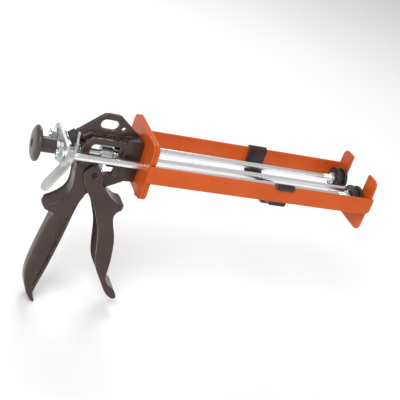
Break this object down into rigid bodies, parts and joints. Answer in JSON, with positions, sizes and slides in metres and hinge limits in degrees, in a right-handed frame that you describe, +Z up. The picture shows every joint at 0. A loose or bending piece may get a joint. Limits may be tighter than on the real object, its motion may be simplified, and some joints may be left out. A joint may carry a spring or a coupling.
{
  "type": "dual cartridge caulking gun",
  "caption": "Hand-operated caulking gun for side-by-side cartridges, with an open carriage, push rods, a yoke and a trigger.",
  "frame": {"origin": "middle of the seat plate's front face, in the plane of the two side rods", "axes": "+X forward along the rods toward the front plate, +Z up toward the hanging fin, +Y to the left"},
  "size_m": [0.378, 0.0946, 0.2292],
  "materials": {
    "orange_paint": "fine textured powder coat",
    "dark_casting": "satin brown-black paint on a casting",
    "black_paint": "satin black paint on sheet steel",
    "zinc_plate": "zinc plated",
    "bright_steel": "bright drawn bar",
    "black_plastic": "moulded",
    "black_rubber": "moulded",
    "black_steel": "blackened screw"
  },
  "bodies": {
    "frame": {"carriage_frame": "orange_paint", "seat_plate": "orange_paint", "front_plate": "orange_paint", "plate_rivets": "orange_paint", "body_screws": "bright_steel", "gun_body": "dark_casting", "drive_bush": "zinc_plate", "trigger_pivot": "dark_casting", "buffer_block": "black_rubber", "drive_spring": "bright_steel", "release_spring": "bright_steel"},
    "trigger": {"trigger": "dark_casting", "push_pin": "bright_steel"},
    "dog": {"drive_dog": "zinc_plate", "drive_collar": "zinc_plate"},
    "rods": {"drive_rod": "bright_steel", "left_rod": "bright_steel", "right_rod": "bright_steel", "left_plunger": "black_plastic", "right_plunger": "black_plastic", "plunger_nuts": "zinc_plate", "yoke_plate": "zinc_plate", "yoke_nuts": "zinc_plate", "knob": "black_plastic", "knob_screw": "black_steel"},
    "release": {"release_plate": "zinc_plate"},
    "clip": {"saddle_clip": "black_paint"}
  },
  "joints": [
    {"name": "trigger_swing", "type": "hinge", "parent": "frame", "child": "trigger", "pos_m": [-0.0465, 0, -0.0315], "axis": [0, 1, 0], "range_deg": [0, 22], "stiffness_Nm_per_rad": 1, "springref_deg": -8.59},
    {"name": "dog_slide", "type": "slide", "parent": "frame", "child": "dog", "axis": [1, 0, 0], "range_m": [0, 0.0039], "deforming": ["drive_spring"]},
    {"name": "rod_slide", "type": "slide", "parent": "frame", "child": "rods", "axis": [1, 0, 0], "range_m": [-0.22, 0]},
    {"name": "release_tilt", "type": "hinge", "parent": "frame", "child": "release", "pos_m": [-0.075, 0, 0.018], "axis": [0, 1, 0], "range_deg": [-4, 0], "stiffness_Nm_per_rad": 0.6, "springref_deg": 2.86, "deforming": ["release_spring"]},
    {"name": "clip_slide", "type": "slide", "parent": "frame", "child": "clip", "axis": [1, 0, 0], "range_m": [-0.1, 0.07]}
  ],
  "couplings": [
    {"joint": "dog_slide", "follows": "trigger_swing", "m_per_rad": 0.00999}
  ]
}
